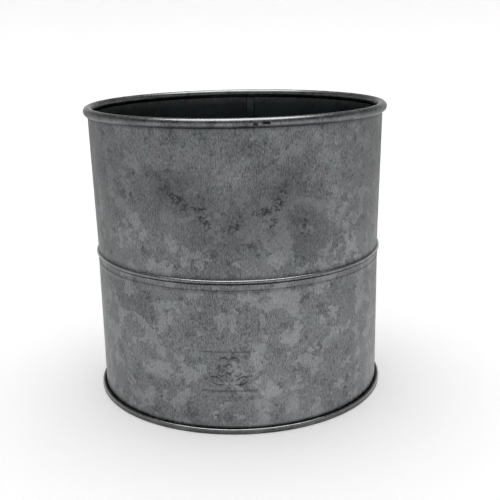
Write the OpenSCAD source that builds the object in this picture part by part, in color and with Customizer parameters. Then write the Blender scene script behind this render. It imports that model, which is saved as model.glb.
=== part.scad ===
// Galvanised steel florist bucket: a straight, slightly flared pot rolled from one sheet,
// with a wired rim, a swaged bead round its waist and a double-seamed bottom.
// The origin is the centre of the foot ring, on the surface that the bucket stands on.
// +Z is up, -Y is the front, and the side seam is at the back.

/* [Overall] */
// Outside diameter over the rolled rim
rim_d = 170; // [140:1:220]
// Height from the foot to the top of the rim
bucket_h = 164.5; // [130:0.5:220]

/* [Sheet] */
// Thickness of the galvanised sheet
sheet_t = 0.4; // [0.3:0.01:0.5]
// Outside diameter of the straight lower wall
body_d = 162.6; // [140:0.2:180]
// Outside diameter just above the bead, from where the wall flares to the rim
waist_d = 162.2; // [140:0.2:180]

/* [Rim] */
// Diameter of the wire in the rim
wire_d = 4.2; // [3:0.1:6]
// Clearance round the wire inside the curl
wire_fit = 0.05; // [0.02:0.01:0.2]
// Gap between the curl's cut edge and the wall
curl_edge_gap = 0.2; // [0.1:0.05:0.4]

/* [Bead] */
// Height of the bead's middle above the foot
bead_z = 82.6; // [40:0.1:120]
// Radius of the bead, which is how far it stands out
bead_r = 1.2; // [0.8:0.05:2]
// Distance from the bead down to the fine ridge that the swaging rollers leave
ridge_drop = 4.9; // [3:0.1:10]
// Height of that ridge above the wall
ridge_h = 0.15; // [0.1:0.01:0.2]
// Radius of that ridge
ridge_r = 0.8; // [0.6:0.05:1.2]

/* [Side seam] */
// Direction of the seam round the axis, in degrees from +X
seam_turn = 83; // [0:1:180]
// Width of the locked seam
seam_w = 5; // [4:0.1:8]
// Clearance between the seam's four layers
seam_fit = 0.1; // [0.05:0.01:0.2]
// Width of the sealant's pocket inside the seam
seam_pocket_w = 0.8; // [0.5:0.05:1.2]
// Plain stretch left between the seam's hooks and the curl, bead, ridge or sealant
seam_margin = 1; // [0.5:0.1:2]

/* [Bottom seam] */
// Height of the double seam that the bucket stands on
chime_h = 3; // [2.8:0.1:5]
// Sideways space between the seam's layers
chime_gap = 0.4; // [0.3:0.05:0.5]
// Clearance above and below the seam's hooks
chime_fit = 0.1; // [0.05:0.01:0.15]
// Thickness of the sealant between the wall and the bottom's upright
sealant_t = 0.3; // [0.2:0.05:0.5]

/* [Bottom panel] */
// Height of the bucket's floor above the foot
floor_z = 4; // [3.5:0.1:8]
// Outer radius of the bottom panel's bends
bend_r = 0.8; // [0.7:0.05:1.2]
// Diameter of the raised middle of the panel
dish_d = 118; // [60:1:130]
// Height of the raised middle
dish_h = 1.2; // [0.5:0.1:2]
// Width of the slope round the raised middle
dish_slope_w = 3; // [2:0.1:6]

/* [Hidden] */
$fn = 96;
// How far a cutting shape runs past what it cuts
overrun = 1;
zinc = [0.46, 0.47, 0.48];
wire_grey = [0.55, 0.56, 0.57];
compound = [0.30, 0.31, 0.31];

// Rim: the sheet's outer face meets the curl under the wire's middle.
curl_in_r = wire_d / 2 + wire_fit;
curl_r = curl_in_r + sheet_t;
curl_x = rim_d / 2 - curl_r;
curl_z = bucket_h - curl_r;
top_r = curl_x + sheet_t / 2;
top_z = curl_z - curl_r + sheet_t / 2;
body_r = body_d / 2;
waist_r = waist_d / 2;

// Fine ridge below the bead: its arc is centred inside the sheet.
ridge_z = bead_z - ridge_drop;
ridge_x = body_r + ridge_h - ridge_r;

// Bottom seam: each layer is one pitch further out than the last.
chime_pitch = sheet_t + chime_gap;
hook_in_r = chime_gap + sheet_t / 2;
hook_out_r = hook_in_r + sheet_t;
wall_fold_x = body_r + chime_gap + sheet_t / 2;
wall_fold_z = sheet_t + chime_fit + hook_out_r;
panel_fold_x = wall_fold_x + chime_pitch;
panel_fold_z = chime_h - hook_out_r;
chime_r = body_r + 3 * chime_pitch;
wall_hook_top = chime_h - sheet_t - chime_fit;
panel_hook_end = 2 * (sheet_t + chime_fit);
upright_r = body_r - sheet_t - sealant_t;
bend_in_r = bend_r - sheet_t;

// Side seam: sector ends are rounded to a hundredth of a degree, so that neighbours meet exactly.
function sweep(width) = round(width / body_r * 180 / PI * 100) / 100;
layer_pitch = sheet_t + seam_fit;
seam_start = seam_turn - sweep(seam_w / 2);
seam_end = seam_turn + sweep(seam_w / 2);
butt_end = seam_end + sweep(seam_fit);
sheet_sweep = sweep(sheet_t);
pocket_start = seam_start + sheet_sweep;
pocket_end = pocket_start + sweep(seam_pocket_w);
inner_hook_end = seam_end - sheet_sweep - sweep(seam_fit);
// The seam's hooks run in two bands: from above the floor's sealant to below the ridge, and above
// the bead.
fillet_top = floor_z + bend_r;
seam_bands = [
    [fillet_top + seam_margin, ridge_z - ridge_r - seam_margin],
    [bead_z + bead_r + seam_margin, curl_z - curl_r - seam_margin],
];

// Everything inside the sheet's outer face, moved towards the axis by inset.
module outer_fill(inset) {
    translate([-inset, 0]) {
        polygon([
            [inset, wall_fold_z],
            [body_r, wall_fold_z],
            [body_r, bead_z],
            [waist_r, bead_z],
            [top_r, top_z],
            [inset, top_z],
        ]);
        translate([waist_r, bead_z]) circle(r = bead_r);
        translate([ridge_x, ridge_z]) circle(r = ridge_r);
    }
}

// Everything inside the sheet's inner face, moved towards the axis by inset.
module inner_fill(inset) {
    in_body_r = body_r - sheet_t;
    in_waist_r = waist_r - sheet_t;
    in_top_r = top_r - sheet_t;
    translate([-inset, 0]) {
        polygon([
            [inset, wall_fold_z - overrun],
            [in_body_r, wall_fold_z - overrun],
            [in_body_r, bead_z],
            [in_waist_r, bead_z],
            [in_top_r, top_z],
            [in_top_r, top_z + overrun],
            [inset, top_z + overrun],
        ]);
        translate([waist_r, bead_z]) circle(r = bead_r - sheet_t);
        translate([ridge_x, ridge_z]) circle(r = ridge_r - sheet_t);
    }
}

// The sheet's section from the bottom fold to the curl.
module sheet_section() {
    difference() {
        outer_fill(0);
        inner_fill(0);
    }
}

// Half of a ring, the lower half or with up = 1 the upper half.
module half_ring(out_r, in_r, up) {
    difference() {
        circle(r = out_r);
        circle(r = in_r);
        translate([-2 * out_r, up ? -2 * out_r : 0]) square([4 * out_r, 2 * out_r]);
    }
}

// A quarter of a ring between the directions turn and turn + 90.
module quarter_ring(out_r, in_r, turn) {
    rotate(turn) intersection() {
        difference() {
            circle(r = out_r);
            circle(r = in_r);
        }
        square(2 * out_r);
    }
}

// The wall's outward fold at the foot, which the bottom panel's hook grips.
module wall_hook_section() {
    translate([wall_fold_x, wall_fold_z]) half_ring(hook_out_r, hook_in_r, 0);
    translate([wall_fold_x + hook_in_r, wall_fold_z]) {
        square([sheet_t, wall_hook_top - wall_fold_z]);
    }
}

// The curl round the wire, open by a slit where the sheet's cut edge meets the wall.
module curl_section() {
    difference() {
        translate([curl_x, curl_z]) circle(r = curl_r);
        translate([curl_x, curl_z]) circle(r = curl_in_r);
        translate([top_r, top_z - sheet_t]) square([curl_edge_gap, 2 * sheet_t]);
    }
}

module wall_section() {
    sheet_section();
    wall_hook_section();
    curl_section();
}

// Only what lies in one of the seam's bands.
module in_band(band) {
    intersection() {
        children();
        translate([0, band[0]]) square([rim_d, band[1] - band[0]]);
    }
}

// The sheet between two layers' outer and inner faces, within a band.
module layers_section(band, first, last) {
    in_band(band) difference() {
        outer_fill(first * layer_pitch);
        inner_fill(last * layer_pitch);
    }
}

module sector(from, to) {
    rotate_extrude(start = from, angle = to - from) children();
}

// Behind the wall's own layer, one end of the sheet folds in at seam_end. The other end steps
// inwards, runs behind that fold and turns out again at seam_start, so that the hooks lock.
module locked_band(band) {
    sector(seam_end - sheet_sweep, seam_end) layers_section(band, 0, 2);
    sector(pocket_end, seam_end) layers_section(band, 2, 2);
    sector(butt_end, butt_end + sheet_sweep) layers_section(band, 0, 3);
    sector(seam_start, butt_end + sheet_sweep) layers_section(band, 3, 3);
    sector(seam_start, seam_start + sheet_sweep) layers_section(band, 1, 3);
    sector(seam_start, inner_hook_end) layers_section(band, 1, 1);
}

// The sheet goes round from butt_end and ends at seam_end, a clearance short of where it began.
module side_wall() {
    color(zinc) {
        sector(butt_end, seam_end + 360) wall_section();
        for (band = seam_bands) locked_band(band);
    }
}

// The panel: a raised middle, an upright inside the wall, the foot, and a hook over the wall's fold.
module bottom_panel() {
    dish_r = dish_d / 2;
    slope_r = dish_r + dish_slope_w;
    flat_end = upright_r - bend_r;
    foot_start = upright_r - sheet_t + bend_r;
    foot_end = chime_r - bend_r;
    color(zinc) rotate_extrude() {
        polygon([
            [0, floor_z + dish_h - sheet_t],
            [dish_r, floor_z + dish_h - sheet_t],
            [slope_r, floor_z - sheet_t],
            [flat_end, floor_z - sheet_t],
            [flat_end, floor_z],
            [slope_r, floor_z],
            [dish_r, floor_z + dish_h],
            [0, floor_z + dish_h],
        ]);
        translate([flat_end, floor_z - bend_r]) quarter_ring(bend_r, bend_in_r, 0);
        translate([upright_r - sheet_t, bend_r]) square([sheet_t, floor_z - 2 * bend_r]);
        translate([foot_start, bend_r]) quarter_ring(bend_r, bend_in_r, 180);
        translate([foot_start, 0]) square([foot_end - foot_start, sheet_t]);
        translate([foot_end, bend_r]) quarter_ring(bend_r, bend_in_r, 270);
        translate([chime_r - sheet_t, bend_r]) square([sheet_t, panel_fold_z - bend_r]);
        translate([panel_fold_x, panel_fold_z]) half_ring(hook_out_r, hook_in_r, 1);
        translate([panel_fold_x - hook_out_r, panel_hook_end]) {
            square([sheet_t, panel_fold_z - panel_hook_end]);
        }
    }
}

module rim_wire() {
    color(wire_grey) rotate_extrude() {
        translate([curl_x, curl_z]) circle(r = wire_d / 2);
    }
}

// Compound between the wall and the bottom's upright, with a small fillet on the floor.
module bottom_seam_sealant() {
    wall_face = body_r - sheet_t;
    lip_r = upright_r - bend_r / 2;
    color(compound) rotate_extrude() difference() {
        polygon([
            [upright_r, wall_fold_z],
            [wall_face, wall_fold_z],
            [wall_face, fillet_top],
            [lip_r, floor_z + bend_r / 4],
            [lip_r, floor_z - bend_r],
            [upright_r, floor_z - bend_r],
        ]);
        translate([upright_r - bend_r, floor_z - bend_r]) circle(r = bend_r);
    }
}

// Compound in the pocket behind the outer hook, one strip in each band of the seam.
module side_seam_sealant() {
    color(compound) for (band = seam_bands) {
        sector(pocket_start, pocket_end) in_band(band) difference() {
            inner_fill(layer_pitch);
            outer_fill(3 * layer_pitch);
        }
    }
}

side_wall();
bottom_panel();
rim_wire();
bottom_seam_sealant();
side_seam_sealant();
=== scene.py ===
"""A galvanised florist bucket: its sheet metal, seams and finish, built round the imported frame."""

import math

import bpy
from bpy.props import FloatProperty, FloatVectorProperty, IntProperty, PointerProperty
from mathutils import Matrix, Vector


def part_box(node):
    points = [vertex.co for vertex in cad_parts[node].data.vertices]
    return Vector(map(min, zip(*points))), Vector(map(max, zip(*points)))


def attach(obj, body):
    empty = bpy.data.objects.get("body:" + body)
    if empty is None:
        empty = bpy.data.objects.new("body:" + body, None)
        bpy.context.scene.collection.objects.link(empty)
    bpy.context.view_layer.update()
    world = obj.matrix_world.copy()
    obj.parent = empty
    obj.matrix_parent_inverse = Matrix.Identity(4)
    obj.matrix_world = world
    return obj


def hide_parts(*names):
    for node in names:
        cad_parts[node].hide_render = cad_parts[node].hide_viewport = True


bl_info = {
    "name": "Florist Bucket",
    "version": (1, 0, 0),
    "blender": (4, 5, 0),
    "location": "View3D > Sidebar > Bucket",
    "description": "Builds a seamed galvanised bucket with a wired rim, a bead and a double-seamed bottom",
    "category": "Add Mesh",
}

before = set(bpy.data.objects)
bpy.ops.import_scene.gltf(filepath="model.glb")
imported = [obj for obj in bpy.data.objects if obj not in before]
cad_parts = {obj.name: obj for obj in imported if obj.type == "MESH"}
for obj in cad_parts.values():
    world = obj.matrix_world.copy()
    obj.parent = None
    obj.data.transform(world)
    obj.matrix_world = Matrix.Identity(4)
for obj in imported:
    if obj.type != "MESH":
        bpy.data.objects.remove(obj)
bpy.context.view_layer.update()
BODY = "root"
MM = 0.001
# The share of its thickness that the sheet keeps where it is drawn round the rim wire, so that the
# hollow's facets stay clear of the wire.
CURL_SHARE = 0.9
# Points closer than this become one, and an edge that turns by more than this is sharp.
MERGE_DISTANCE = 0.002 * MM
SHARP_TURN = math.radians(40)

WALL_LOW, WALL_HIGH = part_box("side_wall")
PANEL_LOW, PANEL_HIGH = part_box("bottom_panel")
WIRE_LOW, WIRE_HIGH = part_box("rim_wire")
RIM_RADIUS = min(WALL_HIGH.x, -WALL_LOW.x, WALL_HIGH.y, -WALL_LOW.y)
RIM_TOP = WALL_HIGH.z
CURL_HEIGHT = (WIRE_HIGH.z + WIRE_LOW.z) / 2
CHIME_RADIUS = min(PANEL_HIGH.x, -PANEL_LOW.x, PANEL_HIGH.y, -PANEL_LOW.y)

# Small creases in the upper wall, as short strokes: across and up from the middle of the front, in mm.
CREASES = [
    ((-33.0, 125.4), (-28.5, 124.0)),
    ((-27.0, 121.3), (-24.0, 119.6)),
    ((-22.0, 121.0), (-19.2, 119.2)),
    ((-19.6, 121.2), (-15.8, 117.6)),
    ((-17.6, 116.2), (-14.6, 111.6)),
    ((-4.6, 109.2), (-1.6, 110.6)),
    ((-1.6, 110.6), (1.6, 111.6)),
    ((9.4, 117.0), (13.0, 118.2)),
    ((13.0, 118.2), (17.0, 118.8)),
    ((19.4, 119.4), (19.8, 122.6)),
    ((22.0, 122.4), (22.9, 127.0)),
    ((13.0, 115.0), (15.2, 113.2)),
    ((17.6, 114.2), (17.4, 111.0)),
    ((34.2, 111.2), (34.2, 105.4)),
]
# Dark chips on the front of the rim: how far across, how far up and how long, in mm.
CHIPS = [(9.2, 161.6, 1.0), (14.2, 162.0, 2.6)]


# ---------------------------------------------------------------- sizes and colours


def length(name, description, metres):
    return FloatProperty(
        name=name, description=description, default=metres, min=0, unit="LENGTH", precision=5
    )


def angle(name, description, degrees):
    return FloatProperty(name=name, description=description, default=math.radians(degrees), subtype="ANGLE")


def colour(name, description, red, green, blue):
    return FloatVectorProperty(
        name=name, description=description, default=(red, green, blue), min=0, max=1, subtype="COLOR"
    )


class BucketSizes(bpy.types.PropertyGroup):
    """Sizes of the bucket, in metres"""

    rim_radius: length("Rim radius", "Outside radius over the rolled rim", RIM_RADIUS)
    rim_top: length("Height", "From the foot to the top of the rim", RIM_TOP)
    curl_radius: length("Curl radius", "Outside radius of the rim's roll", RIM_TOP - CURL_HEIGHT)
    curl_slit: length("Curl slit", "Gap between the curl's cut edge and the wall", 0.2 * MM)
    sheet: length("Sheet", "Thickness of the sheet", 0.4 * MM)
    body_radius: length("Body radius", "Outside radius of the lower wall", 81.3 * MM)
    waist_radius: length("Waist radius", "Outside radius just above the bead", 81.1 * MM)
    bead_height: length("Bead height", "Height of the bead above the foot", 82.6 * MM)
    bead_radius: length("Bead radius", "How far the bead stands out", 1.2 * MM)
    bead_fillet: length("Bead fillet", "Radius of the hollow above and below the bead", 0.35 * MM)
    ridge_drop: length("Ridge drop", "From the bead down to the fine ridge", 4.9 * MM)
    ridge_radius: length("Ridge radius", "Radius of the fine ridge", 0.8 * MM)
    ridge_proud: length("Ridge height", "How far the fine ridge stands out", 0.15 * MM)
    chime_radius: length("Chime radius", "Outside radius of the double seam", CHIME_RADIUS)
    chime_height: length("Chime height", "Height of the double seam", 3.0 * MM)
    chime_gap: length("Chime gap", "Sideways space between the layers of the double seam", 0.4 * MM)
    chime_fit: length("Chime fit", "Clearance above and below the hooks", 0.1 * MM)
    sealant: length("Sealant", "Thickness of the compound in the double seam", 0.3 * MM)
    sealant_fillet: length("Sealant fillet", "Radius of the bead of compound on the floor", 1.2 * MM)
    floor_height: length("Floor height", "Height of the floor above the foot", 4.0 * MM)
    bend_radius: length("Bend radius", "Outer radius of the bottom panel's bends", 0.8 * MM)
    dish_radius: length("Dish radius", "Radius of the raised middle of the floor", 59.0 * MM)
    dish_rise: length("Dish rise", "Height of the raised middle of the floor", 1.2 * MM)
    dish_slope: length("Dish slope", "Width of the slope round the raised middle", 3.0 * MM)
    seam_turn: angle("Seam turn", "Direction of the side seam from +X", 83)
    seam_width: length("Seam width", "Width of the side seam", 5.0 * MM)
    seam_depth: length("Seam depth", "How far the side seam stands into the bucket", 1.5 * MM)
    seam_groove: length("Seam groove", "Depth of the line that the seam leaves outside", 0.22 * MM)
    motif_height: length("Motif height", "Height of the stamped panel's middle", 34.5 * MM)
    motif_rise: length("Motif rise", "Depth of the stamped panel and its flower", 0.36 * MM)
    waviness: length("Waviness", "How far the sheet wanders from a true cylinder", 0.16 * MM)
    crease_depth: length("Crease depth", "Depth of the small creases in the upper wall", 0.25 * MM)


class BucketFinish(bpy.types.PropertyGroup):
    """Colours of the bucket"""

    zinc_dark: colour("Dark spangle", "Zinc crystals that face away from the light", 0.085, 0.088, 0.091)
    zinc_light: colour("Light spangle", "Zinc crystals that face the light", 0.390, 0.397, 0.404)
    zinc_cool: colour("Cool spangle", "Slightly blue-green patches of zinc", 0.335, 0.400, 0.388)
    # Worn zinc is also made brighter as a painted highlight where the bead, rim and foot catch the overhead
    # light.
    zinc_wear_and_sheen: colour("Worn zinc", "Polished zinc on the bead, rim and foot", 0.620, 0.628, 0.636)
    # The inside colour is darkened as painted shade inside the bucket, with a greenish tint.
    zinc_inside_shade: colour("Inside", "Duller, greenish zinc inside the bucket", 0.060, 0.096, 0.094)
    inside_stain: colour("Inside stain", "Brownish stain inside the bucket", 0.056, 0.062, 0.064)
    # The speck colour serves both real specks and dings and the painted shade of the dark mark.
    speck_and_shade: colour("Specks", "Dark specks and dings", 0.020, 0.021, 0.022)
    wire: colour("Wire", "Drawn wire inside the rim", 0.40, 0.41, 0.42)
    compound: colour("Compound", "Sealing compound", 0.070, 0.074, 0.074)
    floor: colour("Floor", "Studio floor", 0.90, 0.90, 0.90)
    spangle: length("Spangle", "Width of the larger zinc crystals", 6.0 * MM)


class BucketStudio(bpy.types.PropertyGroup):
    """Camera and light"""

    lens: FloatProperty(name="Lens", description="Focal length", default=61.6, unit="CAMERA")
    distance: length("Distance", "From the bucket's axis to the camera", 489.3 * MM)
    side: length("Side", "From the bucket's axis sideways to the camera", 0.7 * MM)
    rise: length("Rise", "Camera's height above the rim's top", 46.2 * MM)
    pitch: angle("Pitch", "How far the camera looks down", 15.26)
    yaw: angle("Yaw", "How far the camera looks to the right", 0.73)
    roll: angle("Roll", "How far the camera leans to the right", 1.04)
    sun: FloatProperty(name="Overhead light", description="Irradiance of the soft light", default=1.5, min=0)
    sun_width: angle("Light width", "Width of the soft light in the sky", 56)
    columns: IntProperty(name="Columns", description="Steps round the plain pieces", default=256, min=32)


# ---------------------------------------------------------------- node helpers


def feed(tree, socket, value):
    """Sets a socket to a number, or links it to another socket."""
    source = value.socket if isinstance(value, Value) else value
    if isinstance(source, bpy.types.NodeSocket):
        tree.links.new(source, socket)
    else:
        socket.default_value = source


def node(tree, kind, inputs=None, **settings):
    """Adds a node with its settings made and its inputs fed."""
    made = tree.nodes.new(kind)
    for name, value in settings.items():
        setattr(made, name, value)
    for name, value in (inputs or {}).items():
        feed(tree, made.inputs[name], value)
    return made


class Value:
    """A number in a node tree, so that sums of sockets read as arithmetic."""

    def __init__(self, tree, socket):
        self.tree = tree
        self.socket = socket

    def math(self, operation, *others):
        made = node(self.tree, "ShaderNodeMath", operation=operation)
        for socket, value in zip(made.inputs, (self, *others)):
            feed(self.tree, socket, value)
        return Value(self.tree, made.outputs[0])

    def __add__(self, other):
        return self.math("ADD", other)

    def __sub__(self, other):
        return self.math("SUBTRACT", other)

    def __mul__(self, other):
        return self.math("MULTIPLY", other)

    def __truediv__(self, other):
        return self.math("DIVIDE", other)

    def ramp(self, low, high, start=0.0, end=1.0, smooth=True):
        """start below low, end above high, and an even blend between."""
        made = node(
            self.tree,
            "ShaderNodeMapRange",
            {"Value": self, "From Min": low, "From Max": high, "To Min": start, "To Max": end},
            interpolation_type="SMOOTHSTEP" if smooth else "LINEAR",
        )
        return Value(self.tree, made.outputs[0])

    def near(self, middle, half_width):
        """1 at middle, falling to 0 at half_width from it."""
        return (self - middle).math("ABSOLUTE").ramp(0.0, half_width, 1.0, 0.0)


def vector(tree, x, y, z):
    return node(tree, "ShaderNodeCombineXYZ", {"X": x, "Y": y, "Z": z}).outputs[0]


def geometry_tree(name, sizes):
    """A node tree with a geometry output and one named input for each size. Returns it with its inputs."""
    tree = bpy.data.node_groups.new(name, "GeometryNodeTree")
    tree.interface.new_socket("Geometry", in_out="OUTPUT", socket_type="NodeSocketGeometry")
    for size in sizes:
        tree.interface.new_socket(size, in_out="INPUT", socket_type="NodeSocketFloat")
    group_input = tree.nodes.new("NodeGroupInput")
    return tree, {size: Value(tree, group_input.outputs[size]) for size in sizes}


def finish_tree(tree, geometry, material):
    """Ends a tree: smooth faces with sharp creases, real geometry and the piece's material."""
    smooth = node(tree, "GeometryNodeSetShadeSmooth", {"Geometry": geometry, "Shade Smooth": True})
    crease = Value(tree, node(tree, "GeometryNodeInputMeshEdgeAngle").outputs["Unsigned Angle"])
    sharp = crease.math("GREATER_THAN", SHARP_TURN)
    creased = node(
        tree,
        "GeometryNodeSetShadeSmooth",
        {"Geometry": smooth.outputs[0], "Selection": sharp, "Shade Smooth": False},
        domain="EDGE",
    )
    real = node(tree, "GeometryNodeRealizeInstances", {"Geometry": creased.outputs[0]})
    painted = node(tree, "GeometryNodeSetMaterial", {"Geometry": real.outputs[0], "Material": material})
    group_output = tree.nodes.new("NodeGroupOutput")
    tree.links.new(painted.outputs[0], group_output.inputs[0])


def piece_from_tree(name, tree, sizes):
    """Runs a geometry tree on an empty mesh and keeps the result as a plain mesh."""
    maker = bpy.data.objects.new(name + "_maker", bpy.data.meshes.new(name + "_maker"))
    bpy.context.scene.collection.objects.link(maker)
    modifier = maker.modifiers.new("Build", "NODES")
    modifier.node_group = tree
    for item in tree.interface.items_tree:
        if item.in_out == "INPUT":
            modifier[item.identifier] = sizes[item.name]
    depsgraph = bpy.context.evaluated_depsgraph_get()
    mesh = bpy.data.meshes.new_from_object(
        maker.evaluated_get(depsgraph), preserve_all_data_layers=True, depsgraph=depsgraph
    )
    bpy.data.objects.remove(maker)
    mesh.name = name
    piece = bpy.data.objects.new(name, mesh)
    bpy.context.scene.collection.objects.link(piece)
    return piece


def keep(piece, replaced):
    """The piece rides on the bucket's body and stands for the CAD node it replaces."""
    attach(piece, BODY)
    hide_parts(replaced)


# ---------------------------------------------------------------- sections of sheet, spun round the axis


class Section:
    """The outline of a section, drawn run by run as (radius, height), with the solid on its left."""

    def __init__(self, tree, radius, height):
        self.tree = tree
        self.at = (radius, height)
        self.runs = []
        self.rows = 0

    def line(self, radius, height, points=2):
        """A straight run to (radius, height), as that many points with both its ends."""
        start = vector(self.tree, self.at[0], 0.0, self.at[1])
        end = vector(self.tree, radius, 0.0, height)
        run = node(self.tree, "GeometryNodeCurvePrimitiveLine", {"Start": start, "End": end})
        even = node(self.tree, "GeometryNodeResampleCurve", {"Curve": run.outputs[0], "Count": points})
        self.at = (radius, height)
        self.runs.append(even.outputs[0])
        self.rows += points

    def arc(self, centre, size, first, last, points=6):
        """An arc about centre, between two directions in degrees, where 0 is outwards and 90 is up."""
        start, sweep = math.radians(first), math.radians(last - first)
        run = node(
            self.tree,
            "GeometryNodeCurveArc",
            {"Resolution": points, "Radius": size, "Start Angle": start, "Sweep Angle": sweep},
        )
        upright = node(
            self.tree,
            "GeometryNodeTransform",
            {
                "Geometry": run.outputs[0],
                "Translation": vector(self.tree, centre[0], 0.0, centre[1]),
                "Rotation": (math.pi / 2, 0.0, 0.0),
            },
        )
        self.at = (
            centre[0] + size * math.cos(math.radians(last)),
            centre[1] + size * math.sin(math.radians(last)),
        )
        self.runs.append(upright.outputs[0])
        self.rows += points

    def points(self):
        """The outline's points in drawing order. Join Geometry puts its newest link first."""
        joined = node(self.tree, "GeometryNodeJoinGeometry")
        for run in reversed(self.runs):
            self.tree.links.new(run, joined.inputs[0])
        dots = node(self.tree, "GeometryNodeCurveToPoints", {"Curve": joined.outputs[0]}, mode="EVALUATED")
        return dots.outputs["Points"]


class Spin:
    """A section spun round the axis: a grid with a row for each point and a column for each direction."""

    def __init__(self, tree, section, columns):
        self.tree = tree
        grid = node(
            tree, "GeometryNodeMeshGrid", {"Vertices X": columns + 1, "Vertices Y": section.rows}
        )
        self.grid = grid.outputs["Mesh"]
        index = Value(tree, node(tree, "GeometryNodeInputIndex").outputs[0])
        self.column = (index / section.rows).math("FLOOR")
        self.row = index - self.column * section.rows
        sampled = node(
            tree,
            "GeometryNodeSampleIndex",
            {"Geometry": section.points(), "Index": self.row},
            data_type="FLOAT_VECTOR",
        )
        tree.links.new(node(tree, "GeometryNodeInputPosition").outputs[0], sampled.inputs["Value"])
        parts = node(tree, "ShaderNodeSeparateXYZ", {"Vector": sampled.outputs[0]})
        self.radius = Value(tree, parts.outputs["X"])
        self.height = Value(tree, parts.outputs["Z"])

    def around(self, zones, start):
        """The direction of each column: zones are (columns, degrees) in turn from start."""
        turn = None
        first = 0
        for columns, degrees in zones:
            part = self.column.ramp(first, first + columns, 0.0, math.radians(degrees), smooth=False)
            turn = part if turn is None else turn + part
            first += columns
        return turn + start

    def mesh(self, turn, push=None, lift=None, marks=None):
        """The closed mesh, each point pushed outwards and lifted, with its marks kept as attributes."""
        radius = self.radius + push if push else self.radius
        height = self.height + lift if lift else self.height
        place = vector(self.tree, radius * turn.math("COSINE"), radius * turn.math("SINE"), height)
        geometry = self.grid
        for name, mark in (marks or {}).items():
            stored = node(
                self.tree,
                "GeometryNodeStoreNamedAttribute",
                {"Geometry": geometry, "Name": name, "Value": mark},
            )
            geometry = stored.outputs[0]
        placed = node(self.tree, "GeometryNodeSetPosition", {"Geometry": geometry, "Position": place})
        closed = node(
            self.tree,
            "GeometryNodeMergeByDistance",
            {"Geometry": placed.outputs[0], "Distance": MERGE_DISTANCE},
        )
        return closed.outputs[0]


def distance_to(tree, target, place, element):
    made = node(
        tree, "GeometryNodeProximity", {"Target": target, "Source Position": place}, target_element=element
    )
    return Value(tree, made.outputs["Distance"])


def strokes(tree, lines):
    """Straight strokes on the unrolled wall, from ((x, z), (x, z)) pairs in mm."""
    joined = node(tree, "GeometryNodeJoinGeometry")
    for (x0, z0), (x1, z1) in lines:
        stroke = node(
            tree,
            "GeometryNodeCurvePrimitiveLine",
            {"Start": (x0 * MM, 0.0, z0 * MM), "End": (x1 * MM, 0.0, z1 * MM)},
        )
        tree.links.new(stroke.outputs[0], joined.inputs[0])
    return node(tree, "GeometryNodeCurveToMesh", {"Curve": joined.outputs[0]}).outputs[0]


# ---------------------------------------------------------------- the wall

WALL_SIZES = [
    "Rim Radius", "Rim Top", "Curl Radius", "Curl Slit", "Sheet", "Body Radius", "Waist Radius",
    "Bead Height", "Bead Radius", "Bead Fillet", "Ridge Drop", "Ridge Radius", "Ridge Proud",
    "Chime Height", "Chime Gap", "Chime Fit", "Seam Turn", "Seam Width", "Seam Depth", "Seam Groove",
    "Motif Height", "Motif Rise", "Waviness", "Crease Depth",
]


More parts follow.
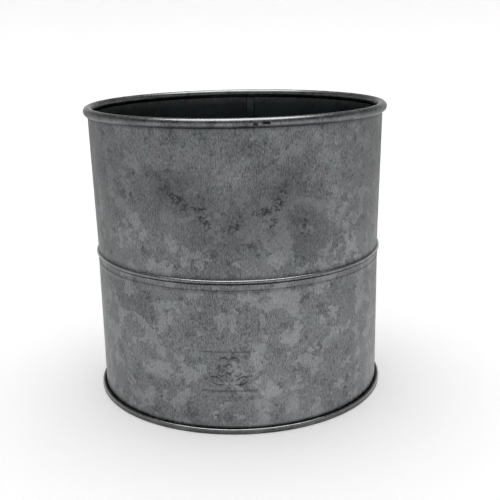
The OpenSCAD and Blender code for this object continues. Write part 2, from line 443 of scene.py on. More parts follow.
def wall_section(tree, size, sizes):
    """The sheet's outline: hook at the foot, outside up to the curl, and inside down again.
    Returns it with the number of rows on the outside. The arcs' directions come from sizes."""
    sheet = size["Sheet"]
    body, waist = size["Body Radius"], size["Waist Radius"]
    gap = size["Chime Gap"]
    hook_in = gap + sheet * 0.5
    hook_out = hook_in + sheet
    fold = (body + hook_in, sheet + size["Chime Fit"] + hook_out)
    hook_top = size["Chime Height"] - sheet - size["Chime Fit"]
    bead = (waist, size["Bead Height"])
    bead_r = size["Bead Radius"]
    ridge = (body + size["Ridge Proud"] - size["Ridge Radius"], size["Bead Height"] - size["Ridge Drop"])
    curl_r = size["Curl Radius"]
    curl = (size["Rim Radius"] - curl_r, size["Rim Top"] - curl_r)
    top = curl[0] + sheet * 0.5
    flare_top = curl[1] - curl_r + sheet * 0.5
    hollow = curl_r - sheet * CURL_SHARE
    fillet = size["Bead Fillet"]
    # Rows are close together over the stamped panel and over the creases, which lie between these
    # shares of the flare.
    stamp_low, stamp_high = size["Motif Height"] - 18.5 * MM, size["Motif Height"] + 13.5 * MM
    below_creases, above_creases = 0.2, 0.64
    # How far the bead turns outside and inside, in degrees.
    bead_turn, inner_bead_turn = 73, 60
    # Directions at which the wall leaves the ridge and the curl, in degrees.
    ridge_turn = math.degrees(math.acos(1 - sizes.ridge_proud / sizes.ridge_radius))
    slit_turn = -math.degrees(math.acos((sizes.sheet / 2 + sizes.curl_slit) / sizes.curl_radius))
    inner_turn = 270 - math.degrees(math.asin(sizes.sheet / 2 / sizes.curl_radius))
    # Directions at which the hollow of the curl starts at the wall and ends at the slit.
    hollow_radius = sizes.curl_radius - sizes.sheet * CURL_SHARE
    hollow_start = 270 + math.degrees(math.asin(sizes.sheet / 2 / hollow_radius))
    hollow_end = -math.degrees(math.acos((sizes.sheet / 2 + sizes.curl_slit) / hollow_radius))

    def flare(share):
        """A point part of the way along the straight flare from the bead to the curl."""
        return waist + (top - waist) * share, bead[1] + (flare_top - bead[1]) * share

    outline = Section(tree, fold[0] + hook_in, hook_top)
    outline.line(fold[0] + hook_in, fold[1])
    outline.arc(fold, hook_in, 0, -180)
    outline.line(body, stamp_low, 10)
    outline.line(body, stamp_high, 60)
    outline.line(body, ridge[1] - size["Ridge Radius"] * math.sin(math.radians(ridge_turn)), 16)
    outline.arc(ridge, size["Ridge Radius"], -ridge_turn, ridge_turn, 7)
    outline.line(body, bead[1] - bead_r - fillet, 4)
    outline.arc((body + fillet, bead[1] - bead_r - fillet), fillet, 180, 90, 4)
    outline.arc(bead, bead_r, -bead_turn, bead_turn, 14)
    outline.arc((waist + fillet, bead[1] + bead_r + fillet), fillet, -90, -180, 4)
    outline.line(*flare(below_creases), 8)
    outline.line(*flare(above_creases), 48)
    outline.line(*flare(1.0), 16)
    outline.line(top, curl[1] + hollow * math.sin(math.radians(hollow_start)))
    outline.arc(curl, hollow, hollow_start, hollow_end, 24)
    outline.arc(curl, curl_r, slit_turn, inner_turn, 34)
    outside_rows = outline.rows
    outline.line(waist - sheet, bead[1] + bead_r, 18)
    outline.arc(bead, bead_r - sheet, inner_bead_turn, -inner_bead_turn, 8)
    outline.line(body - sheet, bead[1] - bead_r, 2)
    outline.line(body - sheet, fold[1], 18)
    outline.arc(fold, hook_out, -180, 0)
    outline.line(fold[0] + hook_out, hook_top)
    outline.line(fold[0] + hook_in, hook_top)
    return outline, outside_rows


def stamped_panel(tree, place):
    """A framed panel with a five-petalled flower and two leaves, over a row of dots. Returns its relief
    in steps of the stamp's depth: -1 in the panel's ground, and up to 1 on the flower and the dots."""
    parts = node(tree, "ShaderNodeSeparateXYZ", {"Vector": place})
    across, up = Value(tree, parts.outputs["X"]), Value(tree, parts.outputs["Z"])
    half_width, half_height, slope = 14.7 * MM, 10.8 * MM, 0.35 * MM
    within = across.math("ABSOLUTE").ramp(half_width - slope, half_width + slope, 1.0, 0.0)
    within = within * up.math("ABSOLUTE").ramp(half_height - slope, half_height + slope, 1.0, 0.0)

    flower_up, petal_turn = 1.6 * MM, 0.314
    petals = node(tree, "GeometryNodeMeshCircle", {"Vertices": 5, "Radius": 4.4 * MM})
    upright = node(
        tree,
        "GeometryNodeTransform",
        {
            "Geometry": petals.outputs[0],
            "Translation": (0.0, 0.0, flower_up),
            "Rotation": (math.pi / 2, petal_turn, 0.0),
        },
    )
    petal = distance_to(tree, upright.outputs[0], place, "POINTS").ramp(2.3 * MM, 3.0 * MM, 1.0, 0.0)
    from_middle = (across * across + (up - flower_up) * (up - flower_up)).math("SQRT")
    middle = from_middle.near(2.1 * MM, 0.6 * MM)
    # A pointed leaf is where two discs overlap; the other leaf mirrors it.
    leaf_length, leaf_width, leaf_rise = 8.4 * MM, 3.8 * MM, math.radians(26)
    disc = (leaf_length**2 + leaf_width**2) / (4 * leaf_width)
    shift = disc - leaf_width / 2
    reach = None
    for side in (-1, 1):
        from_x = across.math("ABSOLUTE") - (6.6 * MM - side * shift * math.sin(leaf_rise))
        from_z = up - (-5.0 * MM + side * shift * math.cos(leaf_rise))
        away = (from_x * from_x + from_z * from_z).math("SQRT")
        reach = away if reach is None else reach.math("MAXIMUM", away)
    veins = strokes(tree, [((3.6, -6.4), (9.6, -3.5)), ((-3.6, -6.4), (-9.6, -3.5))])
    vein = distance_to(tree, veins, place, "EDGES")
    leaves = reach.ramp(disc - 0.35 * MM, disc + 0.25 * MM, 1.0, 0.0) - vein.near(0.0, 0.5 * MM) * 0.6
    stalk = distance_to(tree, strokes(tree, [((0, -4), (0, -8.6))]), place, "EDGES")
    sprig = (petal - middle * 0.9).math("MAXIMUM", leaves)
    sprig = sprig.math("MAXIMUM", stalk.ramp(0.4 * MM, 0.9 * MM, 1.0, 0.0))

    dots = node(
        tree,
        "GeometryNodeMeshLine",
        {"Count": 9, "Start Location": (-12.0 * MM, 0.0, -15.0 * MM), "Offset": (3.0 * MM, 0.0, 0.0)},
    )
    dot = distance_to(tree, dots.outputs[0], place, "POINTS").ramp(0.3 * MM, 1.2 * MM, 1.0, 0.0)
    return sprig * 1.5 + dot - within


def chipped(tree, ground):
    """1 on each chip in the rim, falling to 0 round it."""
    chips = None
    for across, up, long in CHIPS:
        stroke = strokes(tree, [((across - long / 2, up), (across + long / 2, up))])
        chip = distance_to(tree, stroke, ground, "EDGES").ramp(0.5 * MM, 0.9 * MM, 1.0, 0.0)
        chips = chip if chips is None else chips.math("MAXIMUM", chip)
    return chips


def corner_shading(size, height):
    """Painted shade in the corners over the bead, on the bead's underside, beside the fine ridge and under
    the curl.
    """
    bead, bead_r = size["Bead Height"], size["Bead Radius"]
    ridge, beside_ridge = bead - size["Ridge Drop"], 0.75 * MM
    curl_foot = size["Rim Top"] - size["Curl Radius"] * 2.0
    # Each line of painted shade: its height, how far it spreads from there and how dark it is.
    lines = [
        (bead + bead_r + 0.2 * MM, 0.4 * MM, 0.5),
        (bead - bead_r * 0.75, bead_r * 0.75, 0.55),
        (ridge - beside_ridge, 0.4 * MM, 0.4),
        (ridge + beside_ridge, 0.4 * MM, 0.35),
        (curl_foot, 0.7 * MM, 0.5),
    ]
    corner_shade = None
    for middle, spread, darkness in lines:
        line = height.near(middle, spread) * darkness
        corner_shade = line if corner_shade is None else corner_shade.math("MAXIMUM", line)
    return corner_shade


def wall_tree(material, sizes):
    """The wall's section spun round, pushed in and out by its stamp, creases, waves and seam, and marked for
    the finish where it is creased, inside (painted shade), worn and brightened as a painted highlight, or
    dark with chips and painted shade."""
    tree, size = geometry_tree("bucket_wall", WALL_SIZES)
    outline, outside_rows = wall_section(tree, size, sizes)
    # Runs of columns, as (columns, degrees), from past the seam: they are close together over the
    # stamp and the creases at the front, and at the seam at the back.
    zones = [(76, 158), (150, 52), (70, 145), (30, 5)]
    past_seam = math.radians(0.7)
    spin = Spin(tree, outline, sum(columns for columns, _ in zones))
    seam = size["Seam Turn"]
    half_seam = size["Seam Width"] / size["Body Radius"] * 0.5
    turn = spin.around(zones, seam + half_seam + past_seam)
    height, body = spin.height, size["Body Radius"]
    inside = spin.row.math("GREATER_THAN", outside_rows - 0.5)
    outside = inside * -1.0 + 1.0

    # The plain wall, clear of the curl, the bead and the double seam.
    open_wall = height.ramp(4 * MM, 14 * MM) * height.ramp(150 * MM, 158 * MM, 1.0, 0.0)
    clear_of_bead = (height - size["Bead Height"]).math("ABSOLUTE").ramp(6 * MM, 12 * MM)
    plain = open_wall * clear_of_bead

    unrolled = (turn - math.radians(270)) * body
    ground = vector(tree, unrolled, 0.0, height)
    stamp_left = 6 * MM
    on_stamp = vector(tree, unrolled + stamp_left, 0.0, height - size["Motif Height"])
    stamp = stamped_panel(tree, on_stamp) * outside
    ragged = node(tree, "ShaderNodeTexNoise", {"Vector": ground, "Scale": 900.0, "Detail": 1.0})
    crease_distance = distance_to(tree, strokes(tree, CREASES), ground, "EDGES")
    wander = (Value(tree, ragged.outputs["Fac"]) - 0.5) * 1.6 * MM
    crease = (crease_distance + wander).ramp(0.1 * MM, 0.8 * MM, 1.0, 0.0) * outside
    creased = crease_distance.ramp(1.0 * MM, 4.5 * MM, 1.0, 0.0) * outside
    hollow = crease_distance.ramp(0.0, 26 * MM, 1.0, 0.0) * outside

    place = vector(tree, turn.math("COSINE") * body, turn.math("SINE") * body, height * 0.6)
    sway = node(
        tree, "ShaderNodeTexNoise", {"Vector": place, "Scale": 22.0, "Detail": 1.5, "Roughness": 0.4}
    )
    waves = (Value(tree, sway.outputs["Fac"]) - 0.5) * size["Waviness"] * 2.0 * plain

    # The locked side seam: a flat strip standing into the bucket, and a fine line outside.
    from_end = (turn - seam - math.radians(360)) * body
    half_width = size["Seam Width"] * 0.5
    edge = 0.25 * MM
    strip = from_end.ramp(half_width * -1.0 - edge, half_width * -1.0 + edge) * from_end.ramp(
        half_width - edge, half_width + edge, 1.0, 0.0
    )
    band = height.ramp(5.0 * MM, 6.4 * MM) * height.ramp(157 * MM, 158.6 * MM, 1.0, 0.0)
    past_bead = (height - size["Bead Height"]).math("ABSOLUTE").ramp(1.2 * MM, 2.6 * MM, 0.55, 1.0)
    seam_push = strip * inside * band * past_bead * size["Seam Depth"]
    seam_line = from_end.near(half_width, 0.5 * MM) * outside * band
    groove = seam_line * size["Seam Groove"]

    push = stamp * size["Motif Rise"] - (crease + hollow) * size["Crease Depth"] * 0.5
    push = push + waves - seam_push - groove

    bead, bead_r = size["Bead Height"], size["Bead Radius"]
    # The lower wall is painted darker towards the foot.
    darker_near_foot = height.ramp(6 * MM, 40 * MM, 0.16, 0.0)
    # The upper half of the bead and the top of the rim are marked worn: polished zinc, made brighter there as
    # a painted highlight.
    on_bead = (height - bead).math("ABSOLUTE").ramp(bead_r * 1.1, bead_r * 1.2, 1.0, 0.0)
    upper_half = height.ramp(bead, bead + bead_r * 0.5)
    on_bead = on_bead * (spin.radius - body).ramp(0.05 * MM, 0.25 * MM) * upper_half
    on_rim = height.ramp(size["Rim Top"] - 1.3 * MM, size["Rim Top"] - 0.4 * MM) * 0.6
    # The dark mark: real chips on the rim, and painted shade in the creases, along the seam's fine outside
    # line, in the corners by the bead, ridge and curl, and as a broad patch round the creases. It also
    # darkens the wall towards the foot.
    dark = chipped(tree, ground).math("MAXIMUM", crease * 0.6).math("MAXIMUM", seam_line * 0.75)
    dark = dark.math("MAXIMUM", corner_shading(size, height)).math("MAXIMUM", hollow * 0.40 + darker_near_foot)
    marks = {
        "creased": creased,
        "inside": inside * height.ramp(158 * MM, 161 * MM, 1.0, 0.0),
        "wear_and_sheen": on_bead + on_rim,
        "dark": dark * outside,
    }
    finish_tree(tree, spin.mesh(turn, push, marks=marks), material)
    return tree


# ---------------------------------------------------------------- the bottom and its compound

PANEL_SIZES = [
    "Sheet", "Body Radius", "Chime Radius", "Chime Height", "Chime Gap", "Chime Fit", "Sealant",
    "Floor Height", "Bend Radius", "Dish Radius", "Dish Rise", "Dish Slope",
]


def panel_section(tree, size):
    """The panel's outline, from the middle of its underside round the seam to the middle of the floor.
    Returns it with the number of rows before the floor's upper face."""
    sheet, bend, floor = size["Sheet"], size["Bend Radius"], size["Floor Height"]
    bend_in = bend - sheet
    hook_in = size["Chime Gap"] + sheet * 0.5
    hook_out = hook_in + sheet
    chime = size["Chime Radius"]
    hook = (chime - hook_out, size["Chime Height"] - hook_out)
    hook_end = (sheet + size["Chime Fit"]) * 2.0
    upright = size["Body Radius"] - sheet - size["Sealant"]
    rim_bend = (upright - bend, floor - bend)
    foot_start = (upright - sheet + bend, bend)
    foot_end = (chime - bend, bend)
    dish, slope = size["Dish Radius"], size["Dish Radius"] + size["Dish Slope"]
    raised = floor + size["Dish Rise"]

    outline = Section(tree, sheet * 0.0, raised - sheet)
    outline.line(dish, raised - sheet, 10)
    outline.line(slope, floor - sheet, 4)
    outline.line(rim_bend[0], floor - sheet, 4)
    outline.arc(rim_bend, bend_in, 90, 0, 4)
    outline.line(foot_start[0] - bend, bend, 3)
    outline.arc(foot_start, bend, 180, 270, 5)
    outline.line(foot_end[0], 0.0, 3)
    outline.arc(foot_end, bend, 270, 360, 6)
    outline.line(chime, hook[1], 3)
    outline.arc(hook, hook_out, 0, 180, 12)
    outline.line(hook[0] - hook_out, hook_end)
    outline.line(hook[0] - hook_in, hook_end)
    outline.line(hook[0] - hook_in, hook[1])
    outline.arc(hook, hook_in, 180, 0, 6)
    outline.line(chime - sheet, bend)
    outline.arc(foot_end, bend_in, 0, -90, 4)
    outline.line(foot_start[0], sheet)
    outline.arc(foot_start, bend_in, 270, 180, 4)
    outline.line(upright, rim_bend[1])
    lower_rows = outline.rows
    outline.arc(rim_bend, bend, 0, 90, 5)
    outline.line(slope, floor, 4)
    outline.line(dish, raised, 4)
    outline.line(sheet * 0.0, raised, 10)
    return outline, lower_rows


def panel_tree(material, columns):
    """The bottom panel's section spun round, worn and brightened as a painted highlight along the top of the
    double seam, and darkened below it as painted shade.
    """
    tree, size = geometry_tree("bucket_bottom", PANEL_SIZES)
    outline, lower_rows = panel_section(tree, size)
    spin = Spin(tree, outline, columns)
    turn = spin.around([(columns, 360)], 0.0)
    outer_edge = (spin.radius - size["Chime Radius"] + 1.1 * MM).ramp(0.0, 0.5 * MM)
    marks = {
        "wear_and_sheen": outer_edge * spin.height.ramp(2.1 * MM, 2.6 * MM),
        "inside": spin.row.math("GREATER_THAN", lower_rows - 0.5),
        # dark is painted shade on the lower outer face of the double seam.
        "dark": outer_edge * spin.height.ramp(2.0 * MM, 2.5 * MM, 0.62, 0.0),
    }
    finish_tree(tree, spin.mesh(turn, marks=marks), material)
    return tree


def sealant_tree(material, columns):
    """A run of compound in the corner between floor and wall, uneven as if laid by hand."""
    tree, size = geometry_tree("floor_sealant", PANEL_SIZES + ["Sealant Fillet"])
    sheet, bend, floor = size["Sheet"], size["Bend Radius"], size["Floor Height"]
    wall, upright = size["Body Radius"] - sheet, size["Body Radius"] - sheet - size["Sealant"]
    fillet = size["Sealant Fillet"]
    # The ring reaches down between the wall and the panel's upright.
    low = sheet * 4.0
    outline = Section(tree, upright, low)
    outline.line(wall, low)
    outline.line(wall, floor + fillet, 3)
    outline.arc((wall - fillet, floor + fillet), fillet, 0, -90, 8)
    outline.line(upright - bend, floor)
    outline.arc((upright - bend, floor - bend), bend, 90, 0, 4)
    outline.line(upright, low)
    spin = Spin(tree, outline, columns)
    turn = spin.around([(columns, 360)], 0.0)
    run = vector(tree, turn.math("COSINE"), turn.math("SINE"), spin.height * 40.0)
    uneven = node(tree, "ShaderNodeTexNoise", {"Vector": run, "Scale": 9.0, "Detail": 3.0})
    shown = spin.height.ramp(floor + 0.02 * MM, floor + 0.3 * MM) * (wall - spin.radius).ramp(0.0, 0.3 * MM)
    swell = Value(tree, uneven.outputs["Fac"]) * 0.5 * MM * shown
    finish_tree(tree, spin.mesh(turn, swell * -1.0, swell), material)
    return tree


# ---------------------------------------------------------------- materials


def new_material(name):
    """An empty material. Returns it with its tree, its shader and its object coordinates in mm."""
    material = bpy.data.materials.new(name)
    material.use_nodes = True
    tree = material.node_tree
    shader = tree.nodes["Principled BSDF"]
    place = node(tree, "ShaderNodeTexCoord").outputs["Object"]
    in_mm = node(tree, "ShaderNodeVectorMath", {0: place, 1: (1000.0, 1000.0, 1000.0)}, operation="MULTIPLY")
    return material, tree, shader, in_mm.outputs[0]


def stretch(tree, place, x, y, z):
    made = node(tree, "ShaderNodeVectorMath", {0: place, 1: (x, y, z)}, operation="MULTIPLY")
    return made.outputs[0]


def noise(tree, place, scale, detail=2.0, roughness=0.5, distortion=0.0):
    made = node(
        tree,
        "ShaderNodeTexNoise",
        {"Vector": place, "Scale": scale, "Detail": detail, "Roughness": roughness, "Distortion": distortion},
    )
    return Value(tree, made.outputs["Fac"])


def feather(tree, place, scale, reach):
    """Coordinates pushed up to about reach mm by noise, which frays the edges of a pattern."""
    wander = node(
        tree, "ShaderNodeTexNoise", {"Vector": place, "Scale": scale, "Detail": 4.0, "Roughness": 0.65}
    )
    centred = node(
        tree, "ShaderNodeVectorMath", {0: wander.outputs["Color"], 1: (0.5, 0.5, 0.5)}, operation="SUBTRACT"
    )
    offset = stretch(tree, centred.outputs[0], reach, reach, reach)
    return node(tree, "ShaderNodeVectorMath", {0: place, 1: offset}, operation="ADD").outputs[0]


def crystals(tree, place, width):
    """Zinc crystals about width mm across: a random tone for each, and where its middle is."""
    cells = node(tree, "ShaderNodeTexVoronoi", {"Vector": place, "Scale": 1.0 / width, "Randomness": 1.0})
    tone = node(tree, "ShaderNodeSeparateColor", {"Color": cells.outputs["Color"]})
    return Value(tree, tone.outputs["Red"]), cells.outputs["Position"]


def blend(tree, factor, first, second):
    made = node(tree, "ShaderNodeMix", data_type="RGBA")
    for index, value in ((0, factor), (6, first), (7, second)):
        feed(tree, made.inputs[index], value)
    return made.outputs[2]


def mark(tree, name):
    return Value(tree, node(tree, "ShaderNodeAttribute", attribute_name=name).outputs["Fac"])


def bump(tree, shader, height, strength, depth_mm):
    made = node(tree, "ShaderNodeBump", {"Height": height, "Strength": strength, "Distance": depth_mm * MM})
    tree.links.new(made.outputs[0], shader.inputs["Normal"])


def opaque(rgb):
    return (*rgb, 1.0)


def galvanised_zinc(finish):
    """Dulled hot-dip zinc: islands of pale and dull crystals, fine upright hatching and cloudy patches,
    polished where worn and brightened there as a painted highlight, darkened inside as painted shade and
    stained, flecked with painted shade round the creases, and dark with chips and painted shade where the
    pieces mark it."""
    material, tree, shader, place = new_material("galvanised_zinc")
    width = finish.spangle / MM
    ragged = feather(tree, place, 0.40, 6.0)
    large, large_middle = crystals(tree, stretch(tree, ragged, 1.0, 1.0, 0.8), width)
    small, small_middle = crystals(tree, feather(tree, place, 0.6, 2.6), width * 0.36)
    # The tone of an island is taken at each crystal's middle, so that its edge follows whole crystals.
    height = Value(tree, node(tree, "ShaderNodeSeparateXYZ", {"Vector": place}).outputs["Z"])
    pale = noise(tree, small_middle, 0.095, 3.0, 0.55).ramp(0.530, 0.550) * height.ramp(90, 140, 1.0, 0.5)
    dull = noise(tree, stretch(tree, small_middle, 1.0, 1.0, 1.15), 0.15, 2.0, 0.5).ramp(0.600, 0.620)
    cloud = noise(tree, place, 0.035, 2.0, 0.55)
    hatch = noise(tree, stretch(tree, place, 1.0, 1.0, 0.32), 2.1, 1.5, 0.5)
    streak = noise(tree, stretch(tree, place, 1.0, 1.0, 0.12), 1.3, 2.0, 0.6)
    tone = (large - 0.5) * 0.10 + (small - 0.5) * 0.10 + pale * 0.30 - dull * 0.16 + (cloud - 0.5) * 0.6
    tone = tone + (hatch - 0.5) * 1.5 + (streak - 0.5) * 0.2 + 0.39
    level = tone.ramp(0.0, 1.0, smooth=False)
    zinc = blend(tree, level, opaque(finish.zinc_dark), opaque(finish.zinc_light))
    tinted = noise(tree, place, 0.06, 3.0, 0.6).ramp(0.57, 0.66) * 0.5
    cool = blend(tree, level, opaque(finish.zinc_dark), opaque(finish.zinc_cool))
    zinc = blend(tree, tinted, zinc, cool)
    # The worn mark is polished zinc and also a painted highlight.
    wear_and_sheen = mark(tree, "wear_and_sheen")
    zinc = blend(tree, wear_and_sheen * (streak * 0.4 + 0.7), zinc, opaque(finish.zinc_wear_and_sheen))
    # Inside, the zinc is painted darker as shade, and mottled with stains.
    inside = mark(tree, "inside")
    stain = noise(tree, place, 0.045, 4.0, 0.65).ramp(0.36, 0.62)
    lining = blend(tree, stain, opaque(finish.zinc_inside_shade), opaque(finish.inside_stain))
    zinc = blend(tree, inside * (cloud * 0.3 + 0.8), zinc, lining)
    # Short broken dark flecks crowd round each crease: painted shade of fine crumpling, also cut into the
    # relief.
    net = node(
        tree,
        "ShaderNodeTexVoronoi",
        {"Vector": stretch(tree, feather(tree, place, 0.35, 3.0), 1.0, 1.0, 1.2), "Scale": 0.30},
        feature="DISTANCE_TO_EDGE",
    )
    broken = noise(tree, place, 0.28, 2.0, 0.5).ramp(0.42, 0.50)
    crumple_lines = Value(tree, net.outputs["Distance"]).ramp(0.06, 0.15, 1.0, 0.0)
    flecks = crumple_lines * broken * mark(tree, "creased")
    # Chips and painted shade from the dark mark, and painted shade in the flecks, take the speck colour.
    dark = mark(tree, "dark").math("MAXIMUM", flecks * 0.85)
    zinc = blend(tree, dark, zinc, opaque(finish.speck_and_shade))
    tree.links.new(zinc, shader.inputs["Base Color"])
    shader.inputs["Metallic"].default_value = 1.0
    rough = (small - 0.5) * 0.10 + (large - 0.5) * 0.08 + (hatch - 0.5) * 0.2 + pale * 0.03
    rough = rough - wear_and_sheen * 0.24 + 0.40
    feed(tree, shader.inputs["Roughness"], rough.ramp(0.12, 0.7, 0.12, 0.7, smooth=False))
    relief = large * 0.25 + small * 0.3 + streak * 0.3 + hatch * 0.7 + pale * 0.3 - dull * 0.3 - flecks
    bump(tree, shader, relief, 0.35, 0.12)
    return material


def drawn_wire(finish):
    """Bright drawn wire with fine rings of draw marks."""
    material, tree, shader, place = new_material("drawn_wire")
    marks = noise(tree, stretch(tree, place, 0.2, 0.2, 3.0), 2.0, 3.0, 0.6)
    shade = blend(tree, marks, opaque([c * 0.7 for c in finish.wire]), opaque(finish.wire))
    tree.links.new(shade, shader.inputs["Base Color"])
    shader.inputs["Metallic"].default_value = 1.0
    feed(tree, shader.inputs["Roughness"], marks * 0.2 + 0.25)
    bump(tree, shader, marks, 0.2, 0.05)
    return material


def seam_compound(finish):
    """Matt sealing compound, slightly mottled and pitted."""
    material, tree, shader, place = new_material("seam_compound")
    mottle = noise(tree, place, 0.35, 4.0, 0.6)
    pits = noise(tree, place, 3.0, 2.0, 0.5)
    shade = blend(tree, mottle, opaque([c * 0.6 for c in finish.compound]), opaque(finish.compound))
    tree.links.new(shade, shader.inputs["Base Color"])
    feed(tree, shader.inputs["Roughness"], mottle * 0.2 + 0.5)
    bump(tree, shader, mottle + pits * 0.5, 0.4, 0.3)
    return material


def studio_floor(finish):
    """Matt pale paper, a shade uneven."""
    material, tree, shader, place = new_material("studio_floor")
    cloud = noise(tree, place, 0.004, 2.0, 0.5)
    shade = blend(tree, cloud, opaque([c * 0.985 for c in finish.floor]), opaque(finish.floor))
    tree.links.new(shade, shader.inputs["Base Color"])
    shader.inputs["Roughness"].default_value = 0.95
    shader.inputs["Specular IOR Level"].default_value = 0.0
    shader.inputs["Emission Color"].default_value = (1.0, 1.0, 1.0, 1.0)
    shader.inputs["Emission Strength"].default_value = 0.25
    return material


# ---------------------------------------------------------------- operators


def named_sizes(sizes, names):
    """The tree's inputs by name: Rim Radius is rim_radius."""
    return {name: getattr(sizes, name.lower().replace(" ", "_")) for name in names}


class BUCKET_OT_wall(bpy.types.Operator):
    """Build the rolled side wall with its rim, bead, seam and stamped flower"""

    bl_idname = "bucket.wall"
    bl_label = "Side Wall"

    def execute(self, context):
        sizes = context.scene.bucket_sizes
        tree = wall_tree(galvanised_zinc(context.scene.bucket_finish), sizes)
        wall = piece_from_tree("wall", tree, named_sizes(sizes, WALL_SIZES))
        keep(wall, "side_wall")
        return {"FINISHED"}


class BUCKET_OT_bottom(bpy.types.Operator):
    """Build the bottom panel with its dish and double seam"""

    bl_idname = "bucket.bottom"
    bl_label = "Bottom Panel"

    def execute(self, context):
        scene = context.scene
        tree = panel_tree(bpy.data.materials["galvanised_zinc"], scene.bucket_studio.columns)
        panel = piece_from_tree("bottom", tree, named_sizes(scene.bucket_sizes, PANEL_SIZES))
        keep(panel, "bottom_panel")
        return {"FINISHED"}


class BUCKET_OT_compound(bpy.types.Operator):
    """Lay the sealing compound round the floor, and finish the strips in the side seam"""

    bl_idname = "bucket.compound"
    bl_label = "Sealing Compound"

    def execute(self, context):
        scene = context.scene
        compound = seam_compound(scene.bucket_finish)
        names = PANEL_SIZES + ["Sealant Fillet"]
        tree = sealant_tree(compound, scene.bucket_studio.columns)
        ring = piece_from_tree("floor_sealant", tree, named_sizes(scene.bucket_sizes, names))
        keep(ring, "bottom_seam_sealant")
        paint_node("side_seam_sealant", compound)
        return {"FINISHED"}


class BUCKET_OT_wire(bpy.types.Operator):
    """Finish the wire inside the rim"""

    bl_idname = "bucket.wire"
    bl_label = "Rim Wire"

    def execute(self, context):
        paint_node("rim_wire", drawn_wire(context.scene.bucket_finish))
        return {"FINISHED"}


class BUCKET_OT_stage(bpy.types.Operator):
    """Set up the camera, the pale floor and the soft light"""

    bl_idname = "bucket.stage"
    bl_label = "Stage"

    def execute(self, context):
        scene = context.scene
        add_camera(scene)
        add_floor(scene)
        add_light(scene)
        add_sky(scene)
        scene.view_settings.view_transform = "Standard"
        return {"FINISHED"}


def paint_node(name, material):
    """Gives a CAD node that stays its finish."""
    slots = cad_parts[name].material_slots
    if not slots:
        raise RuntimeError(f"{name} has no material slot")
    for slot in slots:
        slot.material = material


def add_camera(scene):
    """A camera in front, above the rim, looking down into the bucket."""
    studio, sizes = scene.bucket_studio, scene.bucket_sizes
    data = bpy.data.cameras.new("camera")
    data.lens = studio.lens
    camera = bpy.data.objects.new("camera", data)
    scene.collection.objects.link(camera)
    down, right = math.cos(studio.pitch), Vector((math.cos(studio.yaw), -math.sin(studio.yaw), 0))
    ahead = Vector((math.sin(studio.yaw) * down, math.cos(studio.yaw) * down, -math.sin(studio.pitch)))
    basis = Matrix((right, right.cross(ahead), -ahead)).transposed()
    lean = Matrix.Rotation(-studio.roll, 3, "Z")
    place = Vector((studio.side, -studio.distance, sizes.rim_top + studio.rise))
    camera.matrix_world = Matrix.Translation(place) @ (basis @ lean).to_4x4()
    scene.camera = camera


def add_floor(scene):
    """A pale paper bowl: flat under the bucket, and curved up a long way off all round it."""
    flat, bend, top, steps, sides = 4.0, 2.0, 5.0, 16, 64
    profile = []
    for step in range(steps + 1):
        turn = math.pi / 2 * step / steps
        profile.append((flat + bend * math.sin(turn), bend - bend * math.cos(turn)))
    profile.append((flat + bend, top))
    turns = [math.tau * side / sides for side in range(sides)]
    verts = [(radius * math.cos(turn), radius * math.sin(turn), z) for radius, z in profile for turn in turns]
    faces = [tuple(range(sides))]
    for ring in range(len(profile) - 1):
        for side in range(sides):
            low, high = ring * sides + side, ring * sides + (side + 1) % sides
            faces.append((low, low + sides, high + sides, high))
    mesh = bpy.data.meshes.new("floor")
    mesh.from_pydata(verts, [], faces)
    mesh.polygons.foreach_set("use_smooth", [True] * len(faces))
    mesh.materials.append(studio_floor(scene.bucket_finish))
    floor = bpy.data.objects.new("floor", mesh)
    scene.collection.objects.link(floor)
    # The zinc reflects the sky's lower half, and not the floor.
    floor.visible_glossy = False


def add_light(scene):
    """One wide soft light overhead, from a little behind the bucket."""
    studio = scene.bucket_studio
    data = bpy.data.lights.new("overhead", "SUN")
    data.energy = studio.sun
    data.angle = studio.sun_width
    lean = math.radians(-6)
    light = bpy.data.objects.new("overhead", data)
    light.matrix_world = Matrix.Rotation(lean, 4, "X")
    scene.collection.objects.link(light)


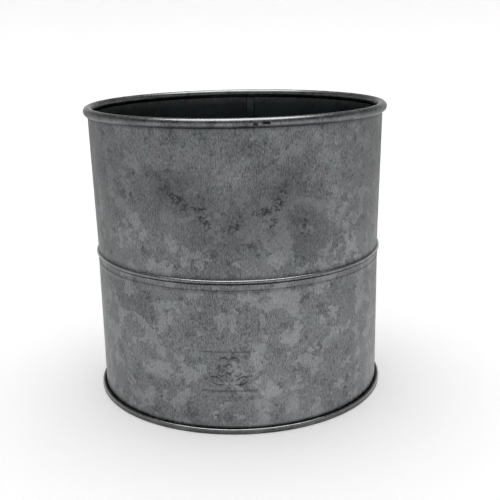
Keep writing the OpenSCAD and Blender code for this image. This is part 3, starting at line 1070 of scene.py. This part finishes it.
def add_sky(scene):
    """Soft surroundings by height: dark straight below, bright low down, greyer up to a pale band at the
    horizon, and dim above."""
    world = bpy.data.worlds.new("studio")
    world.use_nodes = True
    tree = world.node_tree
    direction = node(tree, "ShaderNodeTexCoord").outputs["Generated"]
    toward = node(tree, "ShaderNodeSeparateXYZ", {"Vector": direction})
    up = Value(tree, toward.outputs["Z"])
    right = Value(tree, toward.outputs["X"])
    back = Value(tree, toward.outputs["Y"])
    below = up.ramp(-0.95, -0.45, 0.22, 1.08) * up.ramp(-0.45, 0.0, 1.0, 0.46)
    horizon = up.near(0.05, 0.12) * 0.35
    above = up.ramp(0.05, 0.5, 1.0, 0.22)
    side = right * 0.06 - back * 0.12 + 1.0
    level = below * above * side + horizon
    background = tree.nodes["Background"]
    feed(tree, background.inputs["Strength"], level)
    background.inputs["Color"].default_value = (1.0, 1.0, 1.0, 1.0)
    scene.world = world


class BUCKET_PT_panel(bpy.types.Panel):
    """Sizes, colours and steps of the bucket"""

    bl_label = "Florist Bucket"
    bl_idname = "BUCKET_PT_panel"
    bl_space_type = "VIEW_3D"
    bl_region_type = "UI"
    bl_category = "Bucket"

    def draw(self, context):
        for operator in OPERATORS:
            self.layout.operator(operator.bl_idname)
        for group in GROUPS:
            settings = getattr(context.scene, group)
            box = self.layout.box()
            for name in settings.__annotations__:
                box.prop(settings, name)


GROUPS = {"bucket_sizes": BucketSizes, "bucket_finish": BucketFinish, "bucket_studio": BucketStudio}
OPERATORS = [BUCKET_OT_stage, BUCKET_OT_wall, BUCKET_OT_bottom, BUCKET_OT_compound, BUCKET_OT_wire]


def register():
    for group in GROUPS.values():
        bpy.utils.register_class(group)
    for name, group in GROUPS.items():
        setattr(bpy.types.Scene, name, PointerProperty(type=group))
    for operator in OPERATORS:
        bpy.utils.register_class(operator)
    bpy.utils.register_class(BUCKET_PT_panel)


def unregister():
    bpy.utils.unregister_class(BUCKET_PT_panel)
    for operator in reversed(OPERATORS):
        bpy.utils.unregister_class(operator)
    for name in GROUPS:
        delattr(bpy.types.Scene, name)
    for group in GROUPS.values():
        bpy.utils.unregister_class(group)


def main():
    """Builds the stage and every piece."""
    register()
    bpy.ops.bucket.stage()
    bpy.ops.bucket.wall()
    bpy.ops.bucket.bottom()
    bpy.ops.bucket.compound()
    bpy.ops.bucket.wire()


if __name__ == "__main__":
    main()
